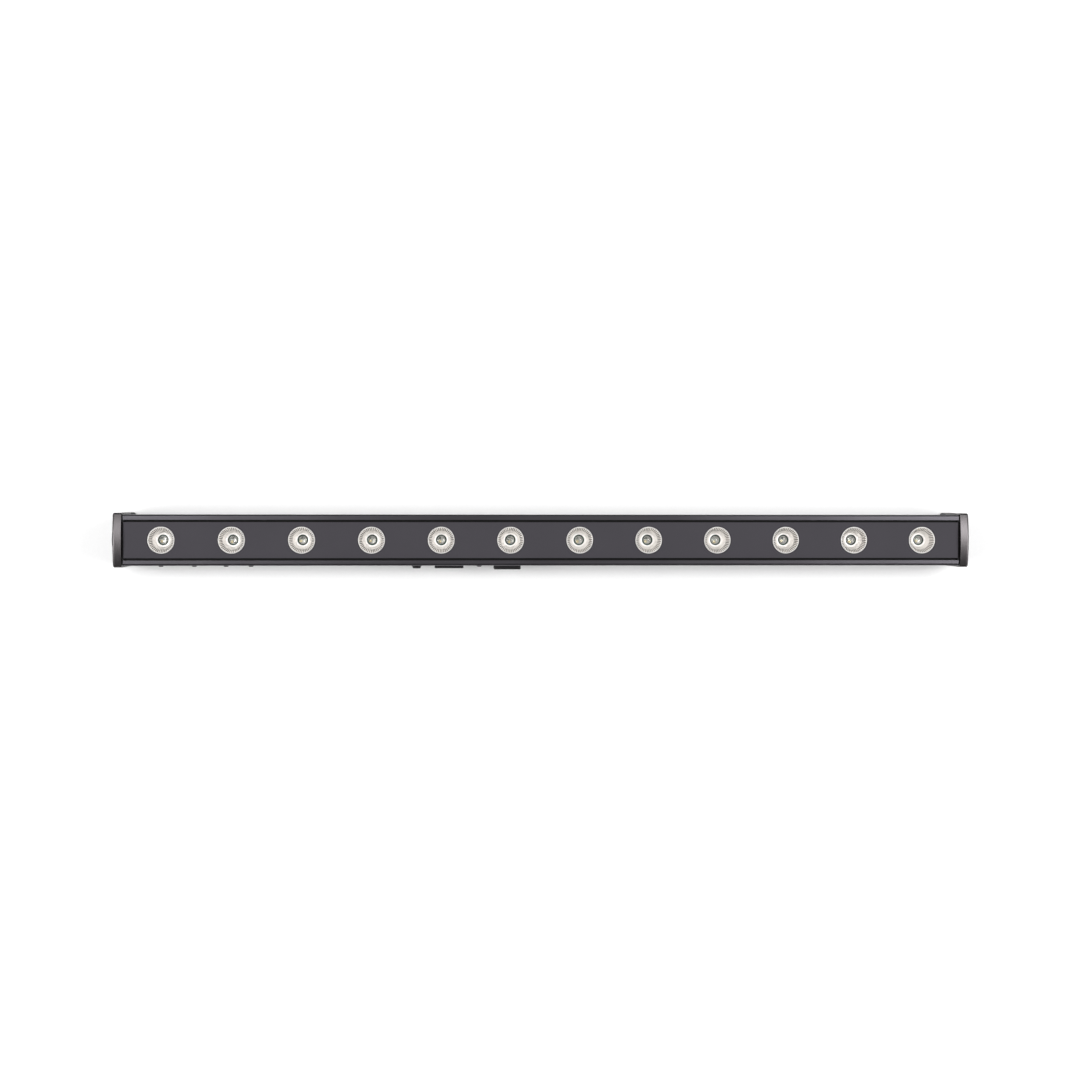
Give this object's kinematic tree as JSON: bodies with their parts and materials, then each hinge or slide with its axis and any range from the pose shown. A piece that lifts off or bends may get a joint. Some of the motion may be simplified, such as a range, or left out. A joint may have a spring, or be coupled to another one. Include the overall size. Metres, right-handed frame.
{
  "type": "led strip batten",
  "caption": "Slim black LED strip batten: extruded housing with a row of fluted optics, end caps, tilting foot brackets, and signal and mains sockets along one edge.",
  "frame": {"origin": "on the floor under the middle of the batten, between the two feet", "axes": "+X along the batten, +Y across it away from the sockets, +Z the way the light goes"},
  "size_m": [1.0108, 0.067, 0.0804],
  "materials": {
    "black_anodised": "black anodised, satin",
    "matte_black_panel": "matte charcoal powder coat",
    "emitter": "clear silicone dome on a pale base",
    "led_board": "green solder mask on an aluminium core",
    "cap_coat": "satin charcoal coat",
    "seal_rubber": "matte black",
    "black_screw": "black zinc plated",
    "foot_coat": "fine textured black powder coat",
    "nylon": "black nylon",
    "zinc_steel": "zinc plated sheet",
    "socket_shell": "black die cast shell",
    "socket_plastic": "moulded black plastic",
    "plated_contact": "silver plated brass",
    "fuse_glass": "clear glass tube",
    "smoked_window": "smoked red window",
    "display_block": "black display block",
    "green_board": "green solder mask",
    "supply_parts": "moulded and sleeved parts",
    "button_cap": "matte grey-black",
    "collimator_mirror": "metallised fluted flank, satin",
    "holder_plastic": "black moulded plastic"
  },
  "bodies": {
    "housing": {"housing_extrusion": "black_anodised", "front_panel": "matte_black_panel", "led_emitters": "emitter", "led_board_left": "led_board", "led_board_right": "led_board", "end_cap_left": "cap_coat", "end_cap_right": "cap_coat", "end_gasket_left": "seal_rubber", "end_gasket_right": "seal_rubber", "end_cap_screws": "black_screw", "side_screws": "black_screw", "pivot_screws": "black_screw", "friction_washers": "nylon", "clamp_plate": "zinc_steel", "dmx_in_socket": "socket_shell", "dmx_out_socket": "socket_shell", "dmx_in_pins": "plated_contact", "dmx_out_contacts": "plated_contact", "mains_inlet": "socket_plastic", "mains_outlet": "socket_plastic", "mains_inlet_pins": "plated_contact", "mains_outlet_contacts": "plated_contact", "fuse_holder": "socket_plastic", "display_window": "smoked_window", "display_module": "display_block", "control_board": "green_board", "power_supply_board": "green_board", "power_supply_parts": "supply_parts", "collimator_01": "collimator_mirror", "collimator_02": "collimator_mirror", "collimator_03": "collimator_mirror", "collimator_04": "collimator_mirror", "collimator_05": "collimator_mirror", "collimator_06": "collimator_mirror", "collimator_07": "collimator_mirror", "collimator_08": "collimator_mirror", "collimator_09": "collimator_mirror", "collimator_10": "collimator_mirror", "collimator_11": "collimator_mirror", "collimator_12": "collimator_mirror", "lens_holder_01": "holder_plastic", "lens_holder_02": "holder_plastic", "lens_holder_03": "holder_plastic", "lens_holder_04": "holder_plastic", "lens_holder_05": "holder_plastic", "lens_holder_06": "holder_plastic", "lens_holder_07": "holder_plastic", "lens_holder_08": "holder_plastic", "lens_holder_09": "holder_plastic", "lens_holder_10": "holder_plastic", "lens_holder_11": "holder_plastic", "lens_holder_12": "holder_plastic"},
    "foot_left": {"foot_bracket_left": "foot_coat"},
    "foot_right": {"foot_bracket_right": "foot_coat"},
    "menu_key": {"button_menu": "button_cap"},
    "down_key": {"button_down": "button_cap"},
    "up_key": {"button_up": "button_cap"},
    "enter_key": {"button_enter": "button_cap"},
    "fuse_carrier": {"fuse_cap": "socket_plastic", "fuse_cartridge": "fuse_glass"}
  },
  "joints": [
    {"name": "left_foot_tilt", "type": "hinge", "parent": "housing", "child": "foot_left", "pos_m": [-0.5017, 0, 0.048], "axis": [1, 0, 0], "range_deg": [-90, 90]},
    {"name": "right_foot_tilt", "type": "hinge", "parent": "housing", "child": "foot_right", "pos_m": [0.5017, 0, 0.048], "axis": [1, 0, 0], "range_deg": [-90, 90]},
    {"name": "menu_key_press", "type": "slide", "parent": "housing", "child": "menu_key", "axis": [0, 1, 0], "range_m": [0, 0.0005], "stiffness_N_per_m": 900},
    {"name": "down_key_press", "type": "slide", "parent": "housing", "child": "down_key", "axis": [0, 1, 0], "range_m": [0, 0.0005], "stiffness_N_per_m": 900},
    {"name": "up_key_press", "type": "slide", "parent": "housing", "child": "up_key", "axis": [0, 1, 0], "range_m": [0, 0.0005], "stiffness_N_per_m": 900},
    {"name": "enter_key_press", "type": "slide", "parent": "housing", "child": "enter_key", "axis": [0, 1, 0], "range_m": [0, 0.0005], "stiffness_N_per_m": 900},
    {"name": "fuse_cap_turn", "type": "hinge", "parent": "housing", "child": "fuse_carrier", "pos_m": [-0.1508, -0.02975, 0.0398], "axis": [0, 1, 0], "range_deg": [0, 60]}
  ]
}
